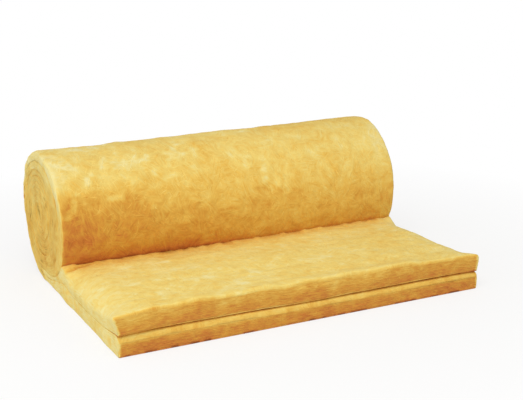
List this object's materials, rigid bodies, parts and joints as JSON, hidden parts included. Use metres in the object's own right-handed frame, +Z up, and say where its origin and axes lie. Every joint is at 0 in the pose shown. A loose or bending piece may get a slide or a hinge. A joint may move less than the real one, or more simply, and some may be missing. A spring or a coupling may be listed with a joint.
{
  "type": "insulation roll",
  "caption": "Partly unrolled roll of yellow glass wool: soft mats wound together, with their free ends lying flat in front of the roll, for insulating lofts, floors and walls.",
  "frame": {"origin": "on the floor, at the middle of the object's outline seen from above", "axes": "+X along the roll, -Y towards the cut front edge of the free ends, +Z up from the floor"},
  "size_m": [1.2, 0.915, 0.43],
  "materials": {
    "glass_wool": "soft matte fibre, unfaced"
  },
  "bodies": {
    "root": {"lower_mat": "glass_wool", "upper_mat": "glass_wool"}
  },
  "joints": []
}
